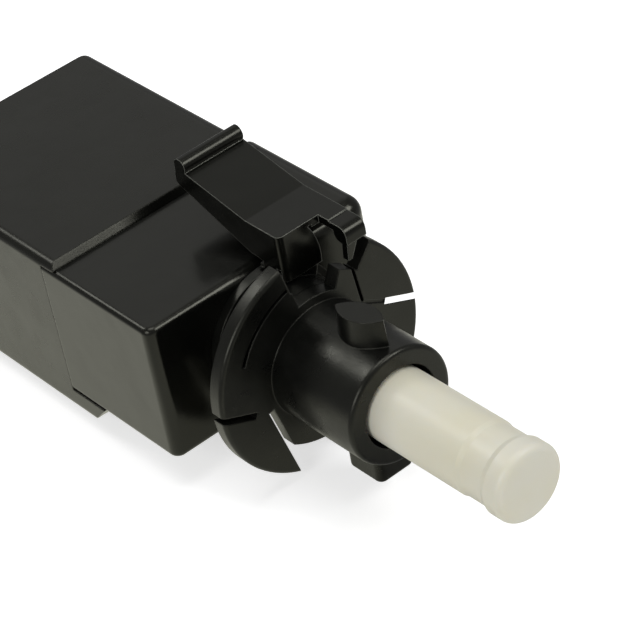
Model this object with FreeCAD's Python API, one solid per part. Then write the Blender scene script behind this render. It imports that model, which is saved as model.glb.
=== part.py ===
"""Brake light switch with a white plunger, a bayonet barrel with a slotted disc, and a release lever.

Millimetres. The origin is on the plunger axis, where the barrel leaves the housing's front face.
+X runs along the plunger to its tip, +Y to the lever's far side and +Z up, towards the lever.
"""
import FreeCAD, Part
import math
import os

from FreeCAD import Vector

over = 1.0                  # how far a cutter reaches past what it cuts
hair = 0.01                 # tolerance for picking edges by place

# Front housing
body_half_width = 13.8
body_half_height = 7.9      # axis to the top and bottom outer faces
front_length = 17.3         # front face back to the step
wall = 1.5
front_wall = 2.0
edge_round = 0.6            # top and bottom edges
right_top_round = 1.8       # the top edge's round grows to this at the right corner
left_corner_round = 1.1     # upright front edges
right_corner_round = 2.0

# Rear shell
rear_top = 8.7
rear_bottom = 10.5
rear_right = 12.7            # the rear shell is a little narrower on the right
rear_length = 26.7          # step back to the socket's mouth
rear_end = front_length + rear_length
rear_bevel = 0.8            # bevelled step on the front edge of the top
rear_round = 1.0
foot_reach = 5.3            # how far the bottom foot runs forward under the front housing
foot_slope = 2.6
chamber_length = 6.7        # step back to the socket's bottom wall
partition_front = front_length + chamber_length
partition_wall = 2.0
key_rib_width = 1.4
key_rib_height = 0.9
key_rib_setback = 1.0       # behind the socket's mouth
latch_window_width = 7.0
latch_window_length = 4.0
latch_window_setback = 4.0

# Barrel
barrel_radius = 6.15
barrel_length = 18.8
barrel_edge = 0.45
collar_radius = 7.6
collar_length = 1.1
base_radius = 6.8           # thicker root of the barrel behind the disc
mouth_radius = 4.3
mouth_depth = 3.6
sleeve_seat_radius = 5.0
spigot_radius = 6.2         # barrel's root through the front wall
spigot_gap = 0.02

# Slotted disc
disc_front = 7.35
disc_thickness = 1.6
disc_radius = 12.25
disc_round = 0.4            # front edge of the rim
hub_radius = 9.1
slot_width = 0.7
arc_slot_inner = 9.6
arc_slot_width = 0.4
arc_slot_start = -76.0      # degrees
arc_slot_stop = -26.0
petal_slot_mouth_y = -3.85  # slot and opening between two petals below the barrel
petal_slot_mouth_z = -13.5
petal_slot_root_y = -6.75
petal_slot_root_z = -2.3
side_slot_mouth_y = 13.4    # slot on the right side
side_slot_mouth_z = -0.4
side_slot_root_y = 8.45
side_slot_root_z = 1.7
slot_lean_y = 0.66          # lean of the side slot's walls on the right, per mm of depth
slot_lean_z = -0.92
hub_slot_width = 0.3        # fine slot beside the lever's web
hub_slot_mouth_y = 5.0
hub_slot_mouth_z = 10.4
hub_slot_root_y = 5.85
hub_slot_root_z = 3.1
root_groove_depth = 0.15
root_groove_width = 0.35
open_rim_stop = -77.0       # degrees, where the rim starts again below the barrel
window_start = 65.0         # degrees from +Y to +Z: the opening in front of the lever
window_stop = 102.0
window_root_gap = 0.3       # above the barrel's thicker root
web_room_start = 49.5       # degrees, where the rim stops beside the lever's web

# Bayonet lugs
lug_height = 2.9            # above the barrel
lug_start = 11.9
lug_end = 17.5
lug_half_width = 1.4
lug_offset = 0.05           # sideways from the barrel's top line
lug_skew = 12.0             # degrees, the lead of the bayonet
lug_foot_growth = 1.08
key_lug_height = 3.5        # the lower lug is a larger block, so that the barrel fits one way round
key_lug_start = 11.6
key_lug_end = 16.5
key_lug_half_width = 2.2
key_lug_round = 0.8

# Plunger
plunger_tip = 36.1
plunger_radius = 3.85
plunger_neck_radius = 3.7
neck_start = 30.2
neck_taper = 0.6
head_start = 33.4
head_flare = 0.7
head_radius = 4.0
head_round = 0.7
tooth_count = 4             # ring teeth on the tail, which set the plunger's length in the slider
tooth_pitch = 1.0
tooth_depth = 0.4
tooth_setback = 0.3         # first groove from the tail's end
plunger_bore_radius = 2.9
plunger_bore_end = 10.0     # blind end of the bore that holds the return spring
bore_cone = 1.2
running_gap = 0.06          # radial, plunger in its guide sleeve
stop_gap = 0.2              # slider to sleeve at rest

# Guide sleeve
sleeve_flange_radius = 5.7
sleeve_flange_thickness = 0.8
sleeve_gap = 0.03

# Contact slider
slider_length = 4.8
slider_plate = 3.0          # length of the cross plate, at the slider's rear
slider_half_width = 9.0
slider_top = 3.0
slider_bottom = 4.4
slider_hub_radius = 4.95
slider_bore_gap = 0.05
clip_thickness = 0.6
clip_outer_radius = 4.5
clip_mouth = 70.0           # degrees left open
rail_width = 2.0
rail_spread = 6.5
fit_gap = 0.05

# Contact carrier
carrier_lip = 0.5           # how far the carrier's plug reaches into the front housing
carrier_front = front_length - carrier_lip
carrier_skirt = 0.1         # side gap to the shells
post_radius = 1.4
post_end = 0.5
post_taper = 0.4
post_taper_length = 0.6
post_seat_radius = 3.6
post_seat_thickness = 0.7

# Terminals
terminal_pitch = 5.0
terminal_count = 4
terminal_width = 2.8
terminal_thick = 0.8
terminal_level = -1.0       # middle of the blade's thickness
blade_setback = 6.5         # blade tips behind the socket's mouth
blade_end = rear_end - blade_setback
blade_bevel = 0.28
blade_taper = 0.6
riser_depth = 2.7           # step back to the riser's rear face
riser_back = front_length + riser_depth
strip_width = 1.8
strip_level = 4.2           # underside of a contact strip
strip_raised = 1.2          # lift of the stretch that the wiper must not touch
inner_strip_place = 5.0
closing_strip_end = 10.2    # front ends of the strips that close when the plunger is pushed in
opening_strip_end = 3.4
strip_switch_place = 8.8    # where the raised stretch drops to contact level
strip_slope = 1.0

# Wipers
wiper_thick = 0.3
wiper_width = 1.6
wiper_gap = 0.05
wiper_dome_radius = 0.45
wiper_reach = 2.4
wiper_setback = 0.9         # slider's rear face to the middle of the wiper's foot
wiper_foot_half = 0.8
arm_tip = 0.15              # thickness of the arm at its tip
arm_middle = 0.25           # drop of the arm's top half way
arm_sag = 0.1
arm_root = 0.2
dome_share = 0.7            # place of the contact dome along the arm
rivet_radius = 0.45
rivet_height = 0.4
rivet_head_share = 1.5      # head to shank

# Return spring
spring_wire = 0.5
spring_mean_radius = 2.3
spring_turns = 9
spring_wire_sides = 8       # flats on the wire's section
spring_end_gap = 0.05
spring_top_gap = 0.3

# Release lever
lever_near = 0.1            # left face of the lever
lever_far = 7.5             # right face of the lever
lever_top = 12.3
lever_front = 3.7
lever_kink = -1.2           # where the top starts to rise towards the rear
lever_rear = -11.9
lever_rise = 1.7            # top surface's rise from the kink to the finger bar
bar_radius = 0.85
bar_place = -10.75
bar_height = 14.5
lever_skin = 1.3
lever_under_rear = 12.1
lever_under_front = 8.5
lever_nose = 0.4            # where the arm ends in the block
bar_fillet = 0.6
lever_corner = 0.4          # bevels at the arm's rear end
hollow_setback = 2.0        # hollow's rear end, in front of the finger bar
hollow_rear_skin = 1.25     # skin at the hollow's rear end, as a share of the skin in front
block_right = 4.7           # right face of the lever's front block
block_bow = 1.4
block_bow_foot = 4.0        # height above the axis where the bow starts
block_lid = 0.6
strip_left = 5.1            # left edge of the lever's front tongue
tongue_end = 7.6
tongue_thick = 0.9
tongue_curl = 0.95
crease_place = 5.15
crease_depth = 0.12
web_top_width = 1.4
web_top_share = 1.6         # web's top below the strip, in curl radii
web_foot_width = 0.6
web_foot_place = 0.2        # right of the strip's left edge
web_foot_height = 8.5       # above the axis, where the web ends over the hub
web_thick = 0.8
neck_share = 0.8            # knuckle's neck to its diameter
joint_lap = 0.5             # how far joined volumes reach into each other
pivot_place = 1.6
pivot_height = 7.9
knuckle_radius = 1.1
knuckle_gap = 0.06
lever_clearance = 0.5
apron_thick = 0.5           # front plate of the block, which hides the gap above the saddle
apron_gap = 0.15
apron_foot = 7.1
lever_round = 0.7


def box(x0, x1, y0, y1, z0, z1):
    return Part.makeBox(x1 - x0, y1 - y0, z1 - z0, Vector(x0, y0, z0))


def rod(radius, x0, x1):
    """Cylinder about the plunger axis."""
    return Part.makeCylinder(radius, x1 - x0, Vector(x0, 0, 0), Vector(1, 0, 0))


def cross_rod(radius, y0, y1, x, z):
    """Cylinder across the housing, along Y."""
    return Part.makeCylinder(radius, y1 - y0, Vector(x, y0, z), Vector(0, 1, 0))


def side_profile(points, y0, y1):
    """Prism along Y from (x, z) corners."""
    wire = Part.makePolygon([Vector(x, y0, z) for x, z in points + points[:1]])
    return Part.Face(wire).extrude(Vector(0, y1 - y0, 0))


def front_profile(points, x0, x1):
    """Prism along X from (y, z) corners."""
    wire = Part.makePolygon([Vector(x0, y, z) for y, z in points + points[:1]])
    return Part.Face(wire).extrude(Vector(x1 - x0, 0, 0))


def turned(points):
    """Solid of revolution about the plunger axis from (x, radius) corners."""
    wire = Part.makePolygon([Vector(x, 0, r) for x, r in points + points[:1]])
    return Part.Face(wire).revolve(Vector(0, 0, 0), Vector(1, 0, 0), 360)


def edges_along(shape, axis, test):
    """Straight edges that run along an axis and whose middle passes the test."""
    direction = {"x": Vector(1, 0, 0), "y": Vector(0, 1, 0), "z": Vector(0, 0, 1)}[axis]
    found = []
    for edge in shape.Edges:
        if edge.Degenerated or edge.Curve.TypeId != "Part::GeomLine":
            continue
        span = edge.Vertexes[-1].Point.sub(edge.Vertexes[0].Point)
        if span.Length < 1e-6 or abs(span.dot(direction)) < 0.999 * span.Length:
            continue
        middle = edge.valueAt((edge.FirstParameter + edge.LastParameter) / 2)
        if test(middle):
            found.append(edge)
    return found


def half_turn(shape):
    """The same shape after half a turn about the plunger axis."""
    copy = shape.copy()
    copy.rotate(Vector(0, 0, 0), Vector(1, 0, 0), 180)
    return copy


def polar(radius, degrees):
    angle = math.radians(degrees)
    return radius * math.cos(angle), radius * math.sin(angle)


def sector(radius, start, stop, x0, x1):
    """Wedge about the plunger axis from start to stop degrees, counted from +Y towards +Z."""
    reach = radius / math.cos(math.radians((stop - start) / 4))
    middle = (start + stop) / 2
    corners = [(0, 0), polar(reach, start), polar(reach, middle), polar(reach, stop)]
    return front_profile(corners, x0, x1).common(rod(radius, x0, x1))


def ring_sector(inner, outer, start, stop, x0, x1):
    return sector(outer, start, stop, x0, x1).cut(rod(inner, x0, x1))


def slanted_slot(start, stop, width, x0, x1, lean_y=0, lean_z=0):
    """Straight slot in the disc between two (y, z) points of its front, with walls that may lean."""
    (y0, z0), (y1, z1) = start, stop
    length = math.hypot(y1 - y0, z1 - z0)
    across_y = -(z1 - z0) / length * width / 2
    across_z = (y1 - y0) / length * width / 2
    lift = x1 - disc_front
    corners = [
        Vector(x1, y + side * across_y - lean_y * lift, z + side * across_z - lean_z * lift)
        for y, z, side in ((y0, z0, 1), (y1, z1, 1), (y1, z1, -1), (y0, z0, -1), (y0, z0, 1))
    ]
    depth = x1 - x0
    return Part.Face(Part.makePolygon(corners)).extrude(Vector(-depth, lean_y * depth, lean_z * depth))


def slotted_disc():
    """Disc with sprung petals, alike after half a turn but for the slots and the gap near the lever."""
    back = disc_front - disc_thickness
    disc = rod(disc_radius, back, disc_front)
    rim = [edge for edge in disc.Edges if edge.BoundBox.XMin > disc_front - hair]
    disc = disc.makeFillet(disc_round, rim)
    x0 = back - over
    x1 = disc_front + over
    reach = disc_radius + over
    slot_mouth = (petal_slot_mouth_y, petal_slot_mouth_z)
    slot_root = (petal_slot_root_y, petal_slot_root_z)
    side_root = (side_slot_root_y, side_slot_root_z)
    open_rim = front_profile([slot_mouth, slot_root, (0, 0), polar(reach + over, open_rim_stop)], x0, x1)
    open_rim = open_rim.cut(rod(hub_radius, x0, x1))
    petal_slot = slanted_slot(slot_mouth, slot_root, slot_width, x0, x1)
    side_mouth = (side_slot_mouth_y, side_slot_mouth_z)
    left_slot = half_turn(slanted_slot(side_mouth, side_root, slot_width, x0, x1))
    right_slot = slanted_slot(side_mouth, side_root, slot_width, x0, x1, slot_lean_y, slot_lean_z)
    arc_outer = arc_slot_inner + arc_slot_width
    arc_slot = ring_sector(arc_slot_inner, arc_outer, arc_slot_start, arc_slot_stop, x0, x1)
    for cutter in (open_rim, arc_slot):
        disc = disc.cut(cutter).cut(half_turn(cutter))
    disc = disc.cut(petal_slot).cut(left_slot).cut(right_slot)
    window = ring_sector(base_radius + window_root_gap, reach, window_start, window_stop, x0, x1)
    web_room = ring_sector(hub_radius, reach, web_room_start, window_stop, x0, x1)
    disc = disc.cut(window).cut(web_room)
    hub_root = (hub_slot_root_y, hub_slot_root_z)
    hub_slot = slanted_slot((hub_slot_mouth_y, hub_slot_mouth_z), hub_root, hub_slot_width, x0, x1)
    groove_floor = disc_front - root_groove_depth
    root_groove = slanted_slot(side_root, hub_root, root_groove_width, groove_floor, x1)
    return disc.cut(hub_slot).cut(root_groove)


def leaf_wire(scale, height):
    """Leaf outline of a bayonet lug: two arcs that meet in two points."""
    middle = (lug_start + lug_end) / 2
    half = (lug_end - lug_start) / 2 * scale
    width = lug_half_width * scale
    nose = Vector(middle + half, 0, height)
    tail = Vector(middle - half, 0, height)
    left = Part.Arc(tail, Vector(middle, -width, height), nose).toShape()
    right = Part.Arc(nose, Vector(middle, width, height), tail).toShape()
    wire = Part.Wire([left, right])
    wire.rotate(Vector(middle, 0, 0), Vector(0, 0, 1), lug_skew)
    wire.translate(Vector(0, lug_offset, 0))
    return wire


def bayonet_lug():
    foot = leaf_wire(lug_foot_growth, barrel_radius - over)
    crown = leaf_wire(1.0, barrel_radius + lug_height)
    return Part.makeLoft([foot, crown], True, True)


def key_lug():
    """Larger lug under the barrel."""
    crown = barrel_radius + key_lug_height
    lug = box(key_lug_start, key_lug_end, -key_lug_half_width, key_lug_half_width, -crown, 0)
    lug = lug.makeFillet(key_lug_round, edges_along(lug, "z", lambda m: True))
    rim = [edge for edge in lug.Edges if edge.BoundBox.ZMax < -crown + hair]
    return lug.makeFillet(key_lug_round / 2, rim)


def lever_saddle():
    """Upright root on the barrel's base, under the lever's block."""
    saddle_front = lever_front - apron_thick - apron_gap
    above = box(-over, saddle_front + over, lever_near - over, block_right + over,
                pivot_height, lever_top + over)
    return block_outline(0, saddle_front).cut(above)


def lever_trough():
    """Round trough in the saddle that the lever's knuckle rocks in."""
    return cross_rod(knuckle_radius + knuckle_gap, lever_near - lever_clearance,
                     block_right + lever_clearance, pivot_place, pivot_height)


def front_housing():
    """Front shell, open to the rear, with a round seat for the barrel."""
    height = body_half_height
    half_width = body_half_width
    block = box(-front_length, 0, -half_width, half_width, -height, height)
    near_edge = edges_along(block, "z", lambda m: m.x > -hair and m.y < 0)
    shell = block.makeFillet(left_corner_round, near_edge)
    far_edge = edges_along(shell, "z", lambda m: m.x > -hair and m.y > half_width - hair)
    shell = shell.makeFillet(right_corner_round, far_edge)
    top_edge = edges_along(shell, "y", lambda m: m.x > -hair and m.z > 0)
    shell = shell.makeFillet(edge_round, right_top_round, top_edge)
    bottom_edge = edges_along(shell, "y", lambda m: m.x > -hair and m.z < 0)
    shell = shell.makeFillet(edge_round, bottom_edge)
    cavity = box(-front_length - over, -front_wall, -body_half_width + wall, body_half_width - wall,
                 -height + wall, height - wall)
    shell = shell.cut(cavity)
    return shell.cut(rod(spigot_radius + spigot_gap, -front_wall - over, 1)).removeSplitter()


def bayonet_barrel():
    """Barrel with its disc, lugs, collar and lever root, seated in the front wall."""
    spigot = rod(spigot_radius, -front_wall, 0)
    barrel = rod(barrel_radius, 0, barrel_length)
    nose = [edge for edge in barrel.Edges if edge.BoundBox.XMin > barrel_length - hair]
    barrel = barrel.makeFillet(barrel_edge, nose)
    root = rod(base_radius, 0, disc_front - disc_thickness)
    collar = rod(collar_radius, 0, collar_length)
    body = barrel.fuse([spigot, root, collar, slotted_disc(), bayonet_lug(), key_lug(), lever_saddle()])
    body = body.cut(lever_trough())
    seat_end = barrel_length - mouth_depth
    body = body.cut(rod(sleeve_seat_radius, -front_wall - over, seat_end))
    body = body.cut(rod(mouth_radius, seat_end - over, barrel_length + over))
    return body.removeSplitter()


def rear_shell():
    """Connector shell: closed sides, a socket open to the rear and a foot under the front housing."""
    shell = box(-rear_end, -front_length, -body_half_width, rear_right, -rear_bottom, rear_top)
    bevel = edges_along(shell, "y", lambda m: m.z > rear_top - hair and m.x > -front_length - hair)
    shell = shell.makeChamfer(rear_bevel, bevel)
    soft = edges_along(shell, "x", lambda m: m.z > rear_top - rear_bevel and m.y > 0)
    shell = shell.makeFillet(right_top_round, soft)
    rims = edges_along(shell, "x", lambda m: m.z < 0 or m.y < -body_half_width + hair)
    shell = shell.makeFillet(rear_round, rims)
    foot_front = -front_length + foot_reach
    foot = side_profile([
        (-front_length - rear_round, -rear_bottom),
        (foot_front - foot_slope, -rear_bottom),
        (foot_front, -body_half_height),
        (-front_length - rear_round, -body_half_height),
    ], -body_half_width, rear_right)
    sole = edges_along(foot, "x", lambda m: m.z < -rear_bottom + hair)
    foot = foot.makeFillet(rear_round, sole)
    shell = shell.fuse(foot)
    inner_y0 = -body_half_width + wall
    inner_y1 = rear_right - wall
    inner_z0 = -rear_bottom + wall
    inner_z1 = rear_top - wall
    socket_floor = -partition_front - partition_wall
    socket = box(-rear_end - over, socket_floor, inner_y0, inner_y1, inner_z0, inner_z1)
    chamber = box(-partition_front, -front_length, inner_y0, inner_y1, inner_z0, inner_z1)
    shell = shell.cut(socket).cut(chamber)
    for side in (-1, 1):
        middle = (inner_y0 + inner_y1) / 2 + side * (inner_y1 - inner_y0) / 4
        rib = box(-rear_end + key_rib_setback, socket_floor, middle - key_rib_width / 2,
                  middle + key_rib_width / 2, inner_z1 - key_rib_height, inner_z1)
        shell = shell.fuse(rib)
    window_end = -rear_end + latch_window_setback
    window = box(window_end, window_end + latch_window_length, -latch_window_width / 2,
                 latch_window_width / 2, -rear_bottom - over, inner_z0 + over)
    shell = shell.cut(window)
    for place in terminal_places():
        slot = box(socket_floor - over, -partition_front + over,
                   place - terminal_width / 2 - fit_gap, place + terminal_width / 2 + fit_gap,
                   terminal_level - terminal_thick / 2 - fit_gap,
                   terminal_level + terminal_thick / 2 + fit_gap)
        shell = shell.cut(slot)
    return shell.removeSplitter()


def terminal_places():
    first = -(terminal_count - 1) / 2 * terminal_pitch
    return [first + number * terminal_pitch for number in range(terminal_count)]


def strip_place(place):
    """Sideways place of the contact strip that belongs to a blade: the inner ones clear the spring."""
    if abs(place) < terminal_pitch:
        return math.copysign(inner_strip_place, place)
    return place


def contact_strip(place, opening):
    """Strip along the slider's way: one pair lies low at the front, the other pair at the rear."""
    root = -riser_back
    low = strip_level
    top = terminal_thick
    high = strip_level + strip_raised
    if opening:
        corner = -strip_switch_place
        points = [
            (root, high), (corner - strip_slope, high), (corner, low), (-opening_strip_end, low),
            (-opening_strip_end, low + top), (corner, low + top),
            (corner - strip_slope, high + top), (root, high + top),
        ]
    else:
        points = [
            (root, low), (-closing_strip_end, low), (-closing_strip_end, low + top), (root, low + top),
        ]
    return side_profile(points, place - strip_width / 2, place + strip_width / 2)


def terminal_span(place):
    """Sideways span of a terminal's riser, which joins its blade to its strip."""
    strip = strip_place(place)
    low = min(place - terminal_width / 2, strip - strip_width / 2)
    high = max(place + terminal_width / 2, strip + strip_width / 2)
    return low, high


def strip_root_top(opening):
    return strip_level + terminal_thick + (strip_raised if opening else 0)


def terminal(place, opening):
    """Stamped terminal: blade in the socket, riser in the carrier and contact strip in front."""
    low = terminal_level - terminal_thick / 2
    high = terminal_level + terminal_thick / 2
    blade = box(-blade_end, -riser_back + terminal_thick, place - terminal_width / 2,
                place + terminal_width / 2, low, high)
    tip = edges_along(blade, "y", lambda m: m.x < -blade_end + hair)
    blade = blade.makeChamfer(blade_bevel, tip)
    sides = edges_along(blade, "z", lambda m: m.x < -blade_end + blade_taper)
    blade = blade.makeChamfer(blade_taper, sides)
    y0, y1 = terminal_span(place)
    riser = box(-riser_back, -riser_back + terminal_thick, y0, y1, low, strip_root_top(opening))
    strip = contact_strip(strip_place(place), opening)
    return blade.fuse([riser, strip]).removeSplitter()


def terminal_room(place, opening):
    """Space in the carrier for one terminal, open at its rear face."""
    y0, y1 = terminal_span(place)
    low = terminal_level - terminal_thick / 2 - fit_gap
    high = strip_root_top(opening) + fit_gap
    seat = -riser_back + terminal_thick
    pocket = box(-partition_front - over, seat, y0 - fit_gap, y1 + fit_gap, low, high)
    middle = strip_place(place)
    passage = box(seat - over, -carrier_front + over, middle - strip_width / 2 - fit_gap,
                  middle + strip_width / 2 + fit_gap, high - terminal_thick - 2 * fit_gap, high)
    return pocket.fuse(passage)


def contact_carrier():
    """Insulating base between the shells, with the guide post of the return spring."""
    gap = carrier_skirt
    base = box(-partition_front, -front_length, -body_half_width + wall + gap, rear_right - wall - gap,
               -rear_bottom + wall + gap, rear_top - wall - gap)
    plug = box(-front_length, -carrier_front, -body_half_width + wall + gap, body_half_width - wall - gap,
               -body_half_height + wall + gap, body_half_height - wall - gap)
    seat = rod(post_seat_radius, -carrier_front, -carrier_front + post_seat_thickness)
    spigot = turned([
        (-carrier_front, 0), (post_end, 0), (post_end, post_radius - post_taper),
        (post_end - post_taper_length, post_radius), (-carrier_front, post_radius),
    ])
    carrier = base.fuse([plug, seat, spigot])
    for place in terminal_places():
        carrier = carrier.cut(terminal_room(place, place < 0))
    return carrier.removeSplitter()


def slider_front():
    return -front_wall - sleeve_flange_thickness - stop_gap


def slider_back():
    return slider_front() - slider_length


def tooth_grooves():
    """Rear end of each ring groove on the plunger's tail."""
    first = slider_back() + tooth_setback
    return [first + number * tooth_pitch for number in range(tooth_count)]


def plunger():
    """White pin: hollow and toothed behind, with a slimmer neck and a flared head."""
    tip = plunger_tip
    outline = [(slider_back(), plunger_bore_radius), (slider_back(), plunger_radius)]
    for start in tooth_grooves():
        outline += [
            (start, plunger_radius), (start, plunger_radius - tooth_depth),
            (start + clip_thickness + fit_gap * 2, plunger_radius - tooth_depth),
            (start + clip_thickness + fit_gap * 2, plunger_radius),
        ]
    outline += [
        (neck_start, plunger_radius), (neck_start + neck_taper, plunger_neck_radius),
        (head_start, plunger_neck_radius), (head_start + head_flare, head_radius),
        (tip, head_radius), (tip, 0), (plunger_bore_end + bore_cone, 0),
        (plunger_bore_end, plunger_bore_radius),
    ]
    pin = turned(outline)
    rim = [edge for edge in pin.Edges if edge.BoundBox.XMin > tip - hair]
    return pin.makeFillet(head_round, rim)


def guide_sleeve():
    """Plain bearing sleeve in the barrel, held by its flange."""
    bore = plunger_radius + running_gap
    outer = sleeve_seat_radius - sleeve_gap
    end = barrel_length - mouth_depth - stop_gap
    back = -front_wall - sleeve_flange_thickness
    return turned([
        (back, bore), (back, sleeve_flange_radius), (-front_wall, sleeve_flange_radius),
        (-front_wall, outer), (end, outer), (end, bore),
    ])


def clip_place():
    """Rear face of the clip, in the second groove of the plunger's tail."""
    return tooth_grooves()[1] + fit_gap


def contact_slider():
    """Moulded slide on the plunger's tail, with two rails and the wipers' ledge."""
    back = slider_back()
    front = slider_front()
    plate = box(back, back + slider_plate, -slider_half_width, slider_half_width,
                -slider_bottom, slider_top)
    slider = plate.fuse(rod(slider_hub_radius, back, front))
    slider = slider.cut(rod(plunger_radius + slider_bore_gap, back - over, front + over))
    clip_room = rod(clip_outer_radius + fit_gap, clip_place() - fit_gap,
                    clip_place() + clip_thickness + fit_gap)
    slider = slider.cut(clip_room)
    floor = -body_half_height + wall
    for side in (-1, 1):
        middle = side * rail_spread
        rail = box(back, back + slider_plate, middle - rail_width / 2, middle + rail_width / 2,
                   floor + running_gap, -slider_bottom)
        slider = slider.fuse(rail)
        hole = Part.makeCylinder(rivet_radius, rivet_height * 3,
                                 Vector(wiper_root(), side * wiper_middle(), slider_top - rivet_height * 3))
        slider = slider.cut(hole)
    return slider.removeSplitter()


def ratchet_clip():
    """Open spring ring that locks the plunger's tail in the slider."""
    back = clip_place()
    ring = rod(clip_outer_radius, back, back + clip_thickness)
    ring = ring.cut(rod(plunger_radius - tooth_depth + fit_gap, back - over, back + clip_thickness + over))
    mouth = sector(clip_outer_radius + over, -90 - clip_mouth / 2, -90 + clip_mouth / 2,
                   back - over, back + clip_thickness + over)
    return ring.cut(mouth)


def wiper_middle():
    """Sideways middle of a wiper, half way between its two strips."""
    return (inner_strip_place + terminal_places()[-1]) / 2


def wiper_root():
    """Middle of the wiper's fixed end on the slider."""
    return slider_back() + wiper_setback


def wiper(side):
    """Sprung bridge: a foot on the slider and two arms that each reach one strip."""
    foot_back = wiper_root() - wiper_foot_half
    foot_front = wiper_root() + wiper_foot_half
    outer = terminal_places()[-1] + wiper_width / 2
    inner = inner_strip_place - wiper_width / 2
    if side < 0:
        outer, inner = -inner, -outer
        inner, outer = min(inner, outer), max(inner, outer)
    foot = box(foot_back, foot_front, min(inner, outer), max(inner, outer),
               slider_top, slider_top + wiper_thick)
    crest = strip_level - wiper_gap
    bridge = foot
    for place in (inner_strip_place, terminal_places()[-1]):
        middle = side * place
        arm = side_profile([
            (foot_front, slider_top), (foot_front + wiper_reach / 2, crest - wiper_thick - arm_sag),
            (foot_front + wiper_reach, crest - wiper_thick), (foot_front + wiper_reach, crest - arm_tip),
            (foot_front + wiper_reach / 2, crest - arm_middle),
            (foot_front - arm_root, slider_top + wiper_thick), (foot_front - arm_root, slider_top),
        ], middle - wiper_width / 2, middle + wiper_width / 2)
        dome = cross_rod(wiper_dome_radius, middle - wiper_width / 2, middle + wiper_width / 2,
                         foot_front + wiper_reach * dome_share, crest - wiper_dome_radius)
        bridge = bridge.fuse([arm, dome])
    hole = Part.makeCylinder(rivet_radius, over * 2,
                             Vector(wiper_root(), side * wiper_middle(), slider_top - over))
    return bridge.cut(hole).removeSplitter()


def wiper_rivet(side):
    """Rivet that holds a wiper's foot on the slider."""
    place = Vector(wiper_root(), side * wiper_middle(), slider_top - rivet_height * 3)
    shank = Part.makeCylinder(rivet_radius, rivet_height * 3 + wiper_thick, place)
    head = Part.makeCylinder(rivet_radius * rivet_head_share, rivet_height,
                             Vector(place.x, place.y, slider_top + wiper_thick))
    return shank.fuse(head).removeSplitter()


def return_spring():
    """Compression spring from the carrier's seat into the plunger's bore."""
    start = -carrier_front + post_seat_thickness + spring_end_gap + spring_wire / 2
    end = plunger_bore_end - spring_top_gap - spring_end_gap - spring_wire / 2
    length = end - start
    helix = Part.makeHelix(length / spring_turns, length, spring_mean_radius)
    corners = []
    for number in range(spring_wire_sides + 1):
        out, up = polar(spring_wire / 2, number * 360 / spring_wire_sides)
        corners.append(Vector(spring_mean_radius + out, 0, up))
    section = Part.makePolygon(corners)
    spring = Part.Wire(helix.Edges).makePipeShell([section], True, True)
    spring.rotate(Vector(0, 0, 0), Vector(0, 1, 0), 90)
    spring.translate(Vector(start, 0, 0))
    return spring


def lever_arm():
    """Hollow arm behind the pivot: top plate, two side skirts and the finger bar."""
    rear_top_z = lever_top + lever_rise
    outline = [
        (lever_nose, lever_top), (lever_kink, lever_top), (bar_place + bar_fillet, rear_top_z),
        (bar_place, bar_height), (lever_rear + lever_corner, bar_height),
        (lever_rear, lever_under_rear + lever_corner), (lever_rear + lever_corner, lever_under_rear),
        (lever_kink, lever_under_front), (lever_nose, lever_under_front),
    ]
    arm = side_profile(outline, lever_near, lever_far)
    arm = arm.fuse(cross_rod(bar_radius, lever_near, lever_far, bar_place, bar_height))
    hollow = side_profile([
        (-lever_nose, lever_top - lever_skin), (lever_kink, lever_top - lever_skin),
        (bar_place + hollow_setback, rear_top_z - lever_skin * hollow_rear_skin),
        (bar_place + hollow_setback, lever_under_front - over), (-lever_nose, lever_under_front - over),
    ], lever_near + lever_skin, lever_far - lever_skin)
    return arm.cut(hollow)


def block_outline(x0, x1):
    """Prism with a flat left side and a bowed right side, as the block and its root have."""
    low = block_bow_foot
    high = lever_top
    waist = block_right - block_bow
    left = Part.makeLine(Vector(x0, lever_near, low), Vector(x0, lever_near, high))
    roof = Part.makeLine(Vector(x0, lever_near, high), Vector(x0, waist, high))
    bow = Part.Arc(Vector(x0, waist, high), Vector(x0, block_right, (low + high) / 2),
                   Vector(x0, waist, low)).toShape()
    floor = Part.makeLine(Vector(x0, waist, low), Vector(x0, lever_near, low))
    return Part.Face(Part.Wire([left, roof, bow, floor])).extrude(Vector(x1 - x0, 0, 0))


def lever_block():
    """Block over the saddle, with the knuckle that rocks in it."""
    foot = pivot_height + lever_clearance
    block = block_outline(0, lever_front)
    block = block.cut(box(-over, lever_front - apron_thick, lever_near - over, block_right + over, 0, foot))
    block = block.cut(box(-over, lever_front + over, lever_near - over, block_right + over, 0, apron_foot))
    lid = box(0, lever_front, lever_near, block_right, lever_top - block_lid, lever_top)
    block = block.fuse(lid).removeSplitter()
    waist = block_right - block_bow
    knuckle = cross_rod(knuckle_radius, lever_near, waist, pivot_place, pivot_height)
    neck_half = knuckle_radius * neck_share
    neck = box(pivot_place - neck_half, pivot_place + neck_half, lever_near, waist,
               pivot_height, foot + joint_lap)
    upright = edges_along(block, "z", lambda m: m.x > lever_front - hair and m.y < lever_near + hair)
    block = block.makeFillet(lever_round, upright)
    far_root = box(0, lever_clearance * 2, block_right, lever_far, lever_under_front, lever_top)
    return block.fuse([knuckle, neck, far_root])


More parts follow.
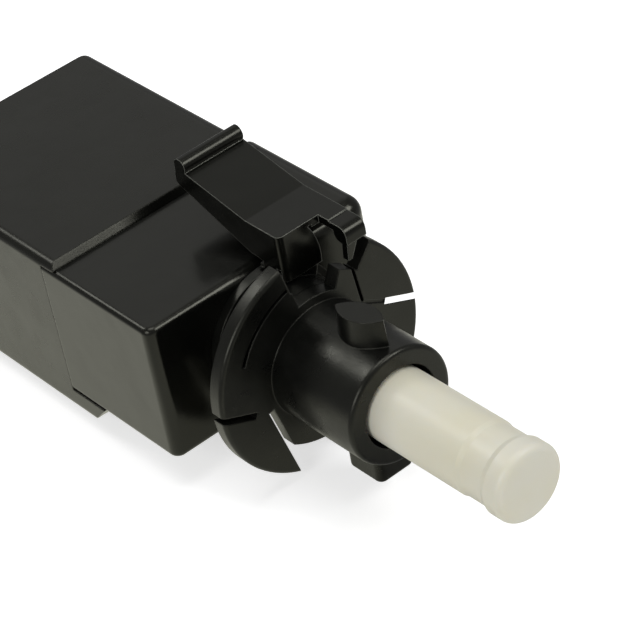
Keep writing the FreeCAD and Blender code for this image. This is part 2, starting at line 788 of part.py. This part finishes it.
def lever_tongue():
    """Strip that runs on forward from the block's right side, curls down and ends in a web."""
    top = lever_top
    under = lever_top - tongue_thick
    flat = box(0, tongue_end - tongue_curl, strip_left, lever_far, under, top)
    crease = box(crease_place, tongue_end, strip_left - over, lever_far + over,
                 top - crease_depth, top + over)
    curl_height = top - tongue_curl - crease_depth
    curl = cross_rod(tongue_curl, strip_left, lever_far, tongue_end - tongue_curl, curl_height)
    lip = box(tongue_end - tongue_thick, tongue_end, strip_left, lever_far,
              top - tongue_curl * 2, curl_height)
    web_top = top - tongue_curl * web_top_share
    centre = strip_left + web_top_width / 2
    foot_centre = strip_left + web_foot_place
    taper = front_profile([
        (centre - web_top_width / 2, web_top), (centre + web_top_width / 2, web_top),
        (foot_centre + web_foot_width / 2, web_foot_height),
        (foot_centre - web_foot_width / 2, web_foot_height),
    ], 0, tongue_end)
    slope = side_profile([
        (tongue_end - web_thick, web_top), (tongue_end, web_top),
        (disc_front, web_foot_height), (disc_front - web_thick, web_foot_height),
    ], strip_left, lever_far)
    web = taper.common(slope)
    bridge = box(0, lever_front, block_right - joint_lap, strip_left + joint_lap, under, top)
    return flat.cut(crease).fuse([curl, lip, web, bridge])


def release_lever():
    """Rocking lever that frees the barrel from its bracket, moulded in one."""
    return lever_arm().fuse([lever_block(), lever_tongue()]).removeSplitter()


def build_parts():
    """All pieces by node name."""
    parts = {
        "front_housing": front_housing(),
        "bayonet_barrel": bayonet_barrel(),
        "rear_shell": rear_shell(),
        "contact_carrier": contact_carrier(),
        "guide_sleeve": guide_sleeve(),
        "plunger": plunger(),
        "contact_slider": contact_slider(),
        "ratchet_clip": ratchet_clip(),
        "return_spring": return_spring(),
        "release_lever": release_lever(),
    }
    for number, place in enumerate(terminal_places(), start=1):
        parts[f"terminal_{number}"] = terminal(place, place < 0)
    for name, side in (("lamp", -1), ("cruise", 1)):
        parts[f"{name}_wiper"] = wiper(side)
        parts[f"{name}_wiper_rivet"] = wiper_rivet(side)
    return parts


os.makedirs("parts", exist_ok=True)
for node, shape in build_parts().items():
    shape.exportStep(f"parts/{node}.step")
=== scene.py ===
"""Looks of the brake light switch: moulded plastics, metals, softened edges, floor, lights and camera."""

import bpy
from mathutils import Matrix, Vector


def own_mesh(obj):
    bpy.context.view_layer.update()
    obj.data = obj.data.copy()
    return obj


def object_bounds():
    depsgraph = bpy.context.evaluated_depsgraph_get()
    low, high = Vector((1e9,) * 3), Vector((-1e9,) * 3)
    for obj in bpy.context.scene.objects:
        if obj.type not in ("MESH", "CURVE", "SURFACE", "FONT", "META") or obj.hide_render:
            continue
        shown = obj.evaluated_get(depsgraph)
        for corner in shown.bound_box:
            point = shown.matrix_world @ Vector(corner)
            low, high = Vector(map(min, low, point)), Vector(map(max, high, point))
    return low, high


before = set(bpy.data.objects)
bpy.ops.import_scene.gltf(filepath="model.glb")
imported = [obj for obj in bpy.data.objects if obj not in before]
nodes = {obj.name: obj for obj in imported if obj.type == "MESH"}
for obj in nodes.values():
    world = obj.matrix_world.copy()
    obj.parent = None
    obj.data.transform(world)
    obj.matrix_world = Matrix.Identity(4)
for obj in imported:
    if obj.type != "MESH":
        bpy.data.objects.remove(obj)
cad_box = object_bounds()
MM = 0.001

# Camera of the photograph
camera_place = Vector((0.179413, -0.115128, 0.160290))
camera_right = Vector((0.64074, 0.75224, -0.15358))
camera_up = Vector((-0.38965, 0.49098, 0.77918))
camera_back = Vector((0.66153, -0.43941, 0.60770))
focal_px = 2747.17
picture_px = 640
principal_px = (311.545, 343.866)
sensor_mm = 36.0

# Rear shell's bevelled front edge on top
bevel_foot = 7.9 * MM
bevel_top = 8.7 * MM
bevel_foot_shift = 2.10 * MM
bevel_top_shift = 2.35 * MM
shifted_above = 7.85 * MM
shifted_before = -18.2 * MM

# Moulded plastics
black_sheen = (1.0, 1.0, 0.86, 1)   # reflections a little warmer than the light
flow_scale = 140                    # waves per metre
flow_contrast = 0.25
patch_scale = 420
swell_scale = 160
swell_depth = 0.06 * MM
bevel_samples = 6

# Colour, roughness, its spread, grain scale, grain depth, edge round and index of refraction
plastics = {
    "housing_black": ((0.0030, 0.0032, 0.0027), 0.20, 0.03, 5200, 0.0030 * MM, 0.25 * MM, 1.46),
    "rear_black": ((0.0032, 0.0034, 0.0028), 0.26, 0.04, 5200, 0.0035 * MM, 0.25 * MM, 1.46),
    "barrel_black": ((0.0024, 0.0026, 0.0024), 0.32, 0.07, 4200, 0.0090 * MM, 0.20 * MM, 1.46),
    "lever_black": ((0.0022, 0.0024, 0.0020), 0.22, 0.04, 4800, 0.0025 * MM, 0.22 * MM, 1.42),
    "carrier_grey": ((0.055, 0.055, 0.052), 0.50, 0.05, 5200, 0.0040 * MM, 0.15 * MM, 1.46),
    "slider_grey": ((0.42, 0.42, 0.40), 0.45, 0.05, 5200, 0.0040 * MM, 0.15 * MM, 1.46),
    "sleeve_natural": ((0.55, 0.53, 0.46), 0.40, 0.05, 5200, 0.0030 * MM, 0.10 * MM, 1.46),
}

# Painted highlight along the lever's outer edges: a paler base colour
painted_edge_highlight = (0.17, 0.175, 0.155)
edge_highlight_width = 0.16 * MM
edge_highlight_full = 0.86             # cosine between face and softened edge
edge_highlight_none = 0.98

# Plunger
plunger_white = (0.780, 0.765, 0.680)
yellowed = (0.98, 0.96, 0.86)       # share of each channel that is left in the clouds
cloud_scale = 110
mark_scale = 900
mark_depth = 0.008 * MM
light_depth = 1.2 * MM

# Colour, roughness and how the streaks are stretched
metals = {
    "tinned_strip": ((0.72, 0.72, 0.70), 0.34, (0.08, 1, 1)),
    "contact_strip": ((0.78, 0.60, 0.34), 0.32, (0.08, 1, 1)),
    "spring_steel": ((0.60, 0.61, 0.63), 0.30, (1, 0.3, 0.3)),
}
streak_scale = 1500
streak_contrast = 0.18
streak_spread = 0.08
streak_depth = 0.006 * MM

dressed_in = {
    "front_housing": "housing_black",
    "rear_shell": "rear_black",
    "bayonet_barrel": "barrel_black",
    "release_lever": "lever_black",
    "contact_carrier": "carrier_grey",
    "contact_slider": "slider_grey",
    "guide_sleeve": "sleeve_natural",
    "ratchet_clip": "spring_steel",
    "return_spring": "spring_steel",
    "lamp_wiper": "contact_strip",
    "cruise_wiper": "contact_strip",
    "lamp_wiper_rivet": "contact_strip",
    "cruise_wiper_rivet": "contact_strip",
    "terminal_1": "tinned_strip",
    "terminal_2": "tinned_strip",
    "terminal_3": "tinned_strip",
    "terminal_4": "tinned_strip",
}

# Floor
floor_drop = 0.1 * MM
floor_half = 3.0
floor_colour = 0.93
floor_roughness = 0.9
floor_white = 0.60          # glow where the camera sees the floor

# Floor as the part reflects it: painted shade, darker than the camera sees it, with painted light from
# its glow
reflected_floor_shade = 0.35
glow_beside = 0.75          # painted light beside the housing
glow_before = 0.42          # and in front of it
glow_turn = (-7 * MM, 5 * MM)
glow_centre_x = -15 * MM
glow_stretch = (0.6, 1, 1)
glow_edge = (28 * MM, 70 * MM)
# painted shadow of the part on the floor, seen only in reflections
painted_shadow_centre = (25 * MM, 1 * MM)
painted_shadow_edge = (5 * MM, 13 * MM)
# warm colour of the painted light in reflections
glow_tint = (0.97, 0.97, 0.80)

# Direction from the origin, distance, width and height in metres, and watts
world_light = 0.24
world_colour = (1, 1, 0.985, 1)
softboxes = {
    "front_box": ((0.59, 0.44, 0.64), 0.6, (0.28, 0.22), 1.1),
    "rear_box": ((-0.65, -0.22, 0.72), 0.6, (0.18, 0.20), 0.45),
    "sky_box": ((-0.62, 0.46, 0.62), 0.6, (0.44, 0.40), 0.14),
    "left_box": ((0.25, -0.85, 0.45), 0.6, (0.30, 0.30), 0.9),
    "high_box": ((0.05, 0.05, 1.0), 0.7, (0.40, 0.40), 1.2),
}


def link(obj):
    bpy.context.scene.collection.objects.link(obj)
    return obj


def new_material(name):
    material = bpy.data.materials.new(name)
    material.use_nodes = True
    tree = material.node_tree
    shader = tree.nodes["Principled BSDF"]
    return material, tree, shader


def object_place(tree):
    return tree.nodes.new("ShaderNodeTexCoord").outputs["Object"]


def object_noise(tree, scale, detail=3.0, roughness=0.5, stretch=None):
    """Noise in the row frame; scale counts waves per metre."""
    noise = tree.nodes.new("ShaderNodeTexNoise")
    noise.inputs["Scale"].default_value = scale
    noise.inputs["Detail"].default_value = detail
    noise.inputs["Roughness"].default_value = roughness
    place = object_place(tree)
    if stretch is not None:
        mapping = tree.nodes.new("ShaderNodeMapping")
        mapping.inputs["Scale"].default_value = stretch
        tree.links.new(place, mapping.inputs["Vector"])
        place = mapping.outputs["Vector"]
    tree.links.new(place, noise.inputs["Vector"])
    return noise.outputs["Fac"]


def distance_to(tree, centre, stretch=(1, 1, 1)):
    """Distance from a point of the row frame, with each axis stretched."""
    offset = tree.nodes.new("ShaderNodeVectorMath")
    offset.operation = "SUBTRACT"
    tree.links.new(object_place(tree), offset.inputs[0])
    offset.inputs[1].default_value = centre
    scaled = tree.nodes.new("ShaderNodeVectorMath")
    scaled.operation = "MULTIPLY"
    tree.links.new(offset.outputs["Vector"], scaled.inputs[0])
    scaled.inputs[1].default_value = stretch
    length = tree.nodes.new("ShaderNodeVectorMath")
    length.operation = "LENGTH"
    tree.links.new(scaled.outputs["Vector"], length.inputs[0])
    return length.outputs["Value"]


def remap(tree, value, low, high, start=0.3, stop=0.7):
    node = tree.nodes.new("ShaderNodeMapRange")
    node.inputs["From Min"].default_value = start
    node.inputs["From Max"].default_value = stop
    node.inputs["To Min"].default_value = low
    node.inputs["To Max"].default_value = high
    tree.links.new(value, node.inputs["Value"])
    return node.outputs["Result"]


def product(tree, value, factor):
    """Value times a number or times another output."""
    node = tree.nodes.new("ShaderNodeMath")
    node.operation = "MULTIPLY"
    tree.links.new(value, node.inputs[0])
    if isinstance(factor, float):
        node.inputs[1].default_value = factor
    else:
        tree.links.new(factor, node.inputs[1])
    return node.outputs[0]


def blend_colours(tree, value, first, second):
    node = tree.nodes.new("ShaderNodeMix")
    node.data_type = "RGBA"
    node.inputs["A"].default_value = (*first, 1)
    node.inputs["B"].default_value = (*second, 1)
    tree.links.new(value, node.inputs["Factor"])
    return node.outputs["Result"]


def softened_normal(tree, edge_round):
    soft = tree.nodes.new("ShaderNodeBevel")
    soft.samples = bevel_samples
    soft.inputs["Radius"].default_value = edge_round
    return soft.outputs["Normal"]


def bump(tree, shader, layers, edge_round=0.0):
    """Bump from (height, depth in metres) layers, one after the other, over softened edges."""
    normal = softened_normal(tree, edge_round) if edge_round else None
    for height, depth in layers:
        node = tree.nodes.new("ShaderNodeBump")
        node.inputs["Strength"].default_value = 1.0
        node.inputs["Distance"].default_value = depth
        tree.links.new(height, node.inputs["Height"])
        if normal is not None:
            tree.links.new(normal, node.inputs["Normal"])
        normal = node.outputs["Normal"]
    tree.links.new(normal, shader.inputs["Normal"])


def moulded_plastic(name, colour, roughness, spread, grain_scale, grain_depth, edge_round, ior):
    """Injection moulded plastic: fine grain, slow flow marks and patches that are a little duller."""
    material, tree, shader = new_material(name)
    flow = remap(tree, object_noise(tree, flow_scale, 4.0, 0.55), 0, 1)
    darker = [channel * (1 - flow_contrast) for channel in colour]
    lighter = [channel * (1 + flow_contrast) for channel in colour]
    tree.links.new(blend_colours(tree, flow, darker, lighter), shader.inputs["Base Color"])
    patches = object_noise(tree, patch_scale, 5.0, 0.6)
    duller = remap(tree, patches, roughness - spread, roughness + spread)
    tree.links.new(duller, shader.inputs["Roughness"])
    shader.inputs["IOR"].default_value = ior
    shader.inputs["Specular Tint"].default_value = black_sheen
    grain = object_noise(tree, grain_scale, 2.0, 0.6)
    swell = object_noise(tree, swell_scale, 2.0, 0.5)
    bump(tree, shader, [(swell, swell_depth), (grain, grain_depth)], edge_round)
    return material


def paint_edge_highlights(material):
    """Painted highlight: outer edges a little paler than the faces."""
    tree = material.node_tree
    shader = tree.nodes["Principled BSDF"]
    face = tree.nodes.new("ShaderNodeNewGeometry")
    agreement = tree.nodes.new("ShaderNodeVectorMath")
    agreement.operation = "DOT_PRODUCT"
    tree.links.new(softened_normal(tree, edge_highlight_width), agreement.inputs[0])
    tree.links.new(face.outputs["Normal"], agreement.inputs[1])
    edge = remap(tree, agreement.outputs["Value"], 1.0, 0.0, edge_highlight_full, edge_highlight_none)
    highlighted = tree.nodes.new("ShaderNodeMix")
    highlighted.data_type = "RGBA"
    highlighted.inputs["B"].default_value = (*painted_edge_highlight, 1)
    tree.links.new(shader.inputs["Base Color"].links[0].from_socket, highlighted.inputs["A"])
    tree.links.new(edge, highlighted.inputs["Factor"])
    tree.links.new(highlighted.outputs["Result"], shader.inputs["Base Color"])


def white_plastic(name, colour):
    """Warm off-white plastic that lets a little light in, with faint yellow clouds and drawing marks."""
    material, tree, shader = new_material(name)
    clouds = remap(tree, object_noise(tree, cloud_scale, 3.0, 0.5), 0, 1)
    warm = [channel * share for channel, share in zip(colour, yellowed)]
    tree.links.new(blend_colours(tree, clouds, colour, warm), shader.inputs["Base Color"])
    marks = object_noise(tree, mark_scale, 3.0, 0.6, (0.15, 1, 1))
    tree.links.new(remap(tree, marks, 0.30, 0.44), shader.inputs["Roughness"])
    shader.inputs["IOR"].default_value = 1.5
    shader.inputs["Subsurface Weight"].default_value = 0.25
    shader.inputs["Subsurface Radius"].default_value = (1.0, 0.85, 0.6)
    shader.inputs["Subsurface Scale"].default_value = light_depth
    bump(tree, shader, [(marks, mark_depth)])
    return material


def strip_metal(name, colour, roughness, stretch):
    """Rolled or drawn metal with streaks along its length."""
    material, tree, shader = new_material(name)
    streaks = object_noise(tree, streak_scale, 3.0, 0.6, stretch)
    darker = [channel * (1 - streak_contrast) for channel in colour]
    streaked = blend_colours(tree, remap(tree, streaks, 0, 1), darker, colour)
    tree.links.new(streaked, shader.inputs["Base Color"])
    duller = remap(tree, streaks, roughness - streak_spread, roughness + streak_spread)
    tree.links.new(duller, shader.inputs["Roughness"])
    shader.inputs["Metallic"].default_value = 1.0
    bump(tree, shader, [(streaks, streak_depth)])
    return material


def dress(node, material):
    obj = nodes[node]
    obj.data.materials.clear()
    obj.data.materials.append(material)


def add_materials():
    made = {}
    for name, look in plastics.items():
        made[name] = moulded_plastic(name, *look)
    for name, look in metals.items():
        made[name] = strip_metal(name, *look)
    # painted edge highlight on the lever
    paint_edge_highlights(made["lever_black"])
    for node, name in dressed_in.items():
        dress(node, made[name])
    dress("plunger", white_plastic("plunger_white", plunger_white))


def above(tree, value, limit):
    node = tree.nodes.new("FunctionNodeCompare")
    node.data_type = "FLOAT"
    node.operation = "GREATER_THAN"
    node.inputs["B"].default_value = limit
    tree.links.new(value, node.inputs["A"])
    return node.outputs["Result"]


def step_forward():
    """The rear shell's bevelled front edge on top lies over the front shell, as in the photograph."""
    tree = bpy.data.node_groups.new("step_forward", "GeometryNodeTree")
    tree.interface.new_socket("Geometry", in_out="INPUT", socket_type="NodeSocketGeometry")
    tree.interface.new_socket("Geometry", in_out="OUTPUT", socket_type="NodeSocketGeometry")
    start = tree.nodes.new("NodeGroupInput")
    end = tree.nodes.new("NodeGroupOutput")
    place = tree.nodes.new("GeometryNodeInputPosition")
    apart = tree.nodes.new("ShaderNodeSeparateXYZ")
    tree.links.new(place.outputs["Position"], apart.inputs["Vector"])
    both = tree.nodes.new("FunctionNodeBooleanMath")
    both.operation = "AND"
    tree.links.new(above(tree, apart.outputs["Z"], shifted_above), both.inputs[0])
    tree.links.new(above(tree, apart.outputs["X"], shifted_before), both.inputs[1])
    shift = remap(tree, apart.outputs["Z"], bevel_foot_shift, bevel_top_shift, bevel_foot, bevel_top)
    offset = tree.nodes.new("ShaderNodeCombineXYZ")
    tree.links.new(shift, offset.inputs["X"])
    move = tree.nodes.new("GeometryNodeSetPosition")
    tree.links.new(start.outputs[0], move.inputs["Geometry"])
    tree.links.new(both.outputs[0], move.inputs["Selection"])
    tree.links.new(offset.outputs["Vector"], move.inputs["Offset"])
    tree.links.new(move.outputs["Geometry"], end.inputs[0])
    nodes["rear_shell"].modifiers.new("step_forward", "NODES").node_group = tree


def squeeze_spring():
    """Gives the return spring, fixed at its rear end, a mesh of its own; it is not shortened here."""
    spring = nodes["return_spring"]
    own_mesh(spring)


def painted_floor_glow(tree, lowest):
    """Painted light of the floor where the part reflects it, strongest beside the housing, with a painted
    shadow in front of it.
    """
    apart = tree.nodes.new("ShaderNodeSeparateXYZ")
    tree.links.new(object_place(tree), apart.inputs["Vector"])
    lengthwise = remap(tree, apart.outputs["X"], glow_beside, glow_before, *glow_turn)
    distance = distance_to(tree, (glow_centre_x, 0, lowest), glow_stretch)
    reach = remap(tree, distance, 1.0, 0.0, *glow_edge)
    painted_shadow = remap(tree, distance_to(tree, (*painted_shadow_centre, lowest)), 0.0, 1.0, *painted_shadow_edge)
    return product(tree, product(tree, lengthwise, reach), painted_shadow)


def floor_material(lowest):
    material, tree, shader = new_material("pale_floor")
    shader.inputs["Roughness"].default_value = floor_roughness
    shader.inputs["Specular IOR Level"].default_value = 0.0
    path = tree.nodes.new("ShaderNodeLightPath")
    glossy = path.outputs["Is Glossy Ray"]
    # Painted shade: reflections see a darker floor than the camera does
    colour = blend_colours(tree, glossy, (floor_colour,) * 3, (reflected_floor_shade,) * 3)
    tree.links.new(colour, shader.inputs["Base Color"])
    tint = blend_colours(tree, glossy, (1, 1, 1), glow_tint)
    tree.links.new(tint, shader.inputs["Emission Color"])
    glow = tree.nodes.new("ShaderNodeMath")
    glow.operation = "ADD"
    # painted light on the floor, seen only in reflections
    tree.links.new(product(tree, glossy, painted_floor_glow(tree, lowest)), glow.inputs[0])
    tree.links.new(product(tree, path.outputs["Is Camera Ray"], floor_white), glow.inputs[1])
    tree.links.new(glow.outputs[0], shader.inputs["Emission Strength"])
    return material


def add_floor():
    lowest = cad_box[0].z - floor_drop
    mesh = bpy.data.meshes.new("floor")
    corners = [
        (-floor_half, -floor_half, lowest),
        (floor_half, -floor_half, lowest),
        (floor_half, floor_half, lowest),
        (-floor_half, floor_half, lowest),
    ]
    mesh.from_pydata(corners, [], [(0, 1, 2, 3)])
    floor = link(bpy.data.objects.new("floor", mesh))
    floor.data.materials.append(floor_material(lowest))


def softbox(name, direction, distance, size, power):
    lamp = bpy.data.lights.new(name, "AREA")
    lamp.shape = "RECTANGLE"
    lamp.size, lamp.size_y = size
    lamp.energy = power
    obj = link(bpy.data.objects.new(name, lamp))
    away = Vector(direction).normalized()
    obj.location = away * distance
    obj.rotation_mode = "QUATERNION"
    obj.rotation_quaternion = away.to_track_quat("Z", "Y")


def add_light():
    world = bpy.data.worlds.new("studio")
    bpy.context.scene.world = world
    world.use_nodes = True
    back = world.node_tree.nodes["Background"]
    back.inputs["Color"].default_value = world_colour
    back.inputs["Strength"].default_value = world_light
    for name, setting in softboxes.items():
        softbox(name, *setting)


def add_camera():
    data = bpy.data.cameras.new("camera")
    data.sensor_width = sensor_mm
    data.lens = sensor_mm * focal_px / picture_px
    data.shift_x = (picture_px / 2 - principal_px[0]) / picture_px
    data.shift_y = (principal_px[1] - picture_px / 2) / picture_px
    data.clip_start = 0.01
    data.clip_end = 20
    camera = link(bpy.data.objects.new("camera", data))
    turn = Matrix((camera_right, camera_up, camera_back)).transposed().to_4x4()
    camera.matrix_world = Matrix.Translation(camera_place) @ turn
    bpy.context.scene.camera = camera


bpy.context.scene.view_settings.view_transform = "Standard"
add_materials()
step_forward()
squeeze_spring()
add_floor()
add_light()
add_camera()
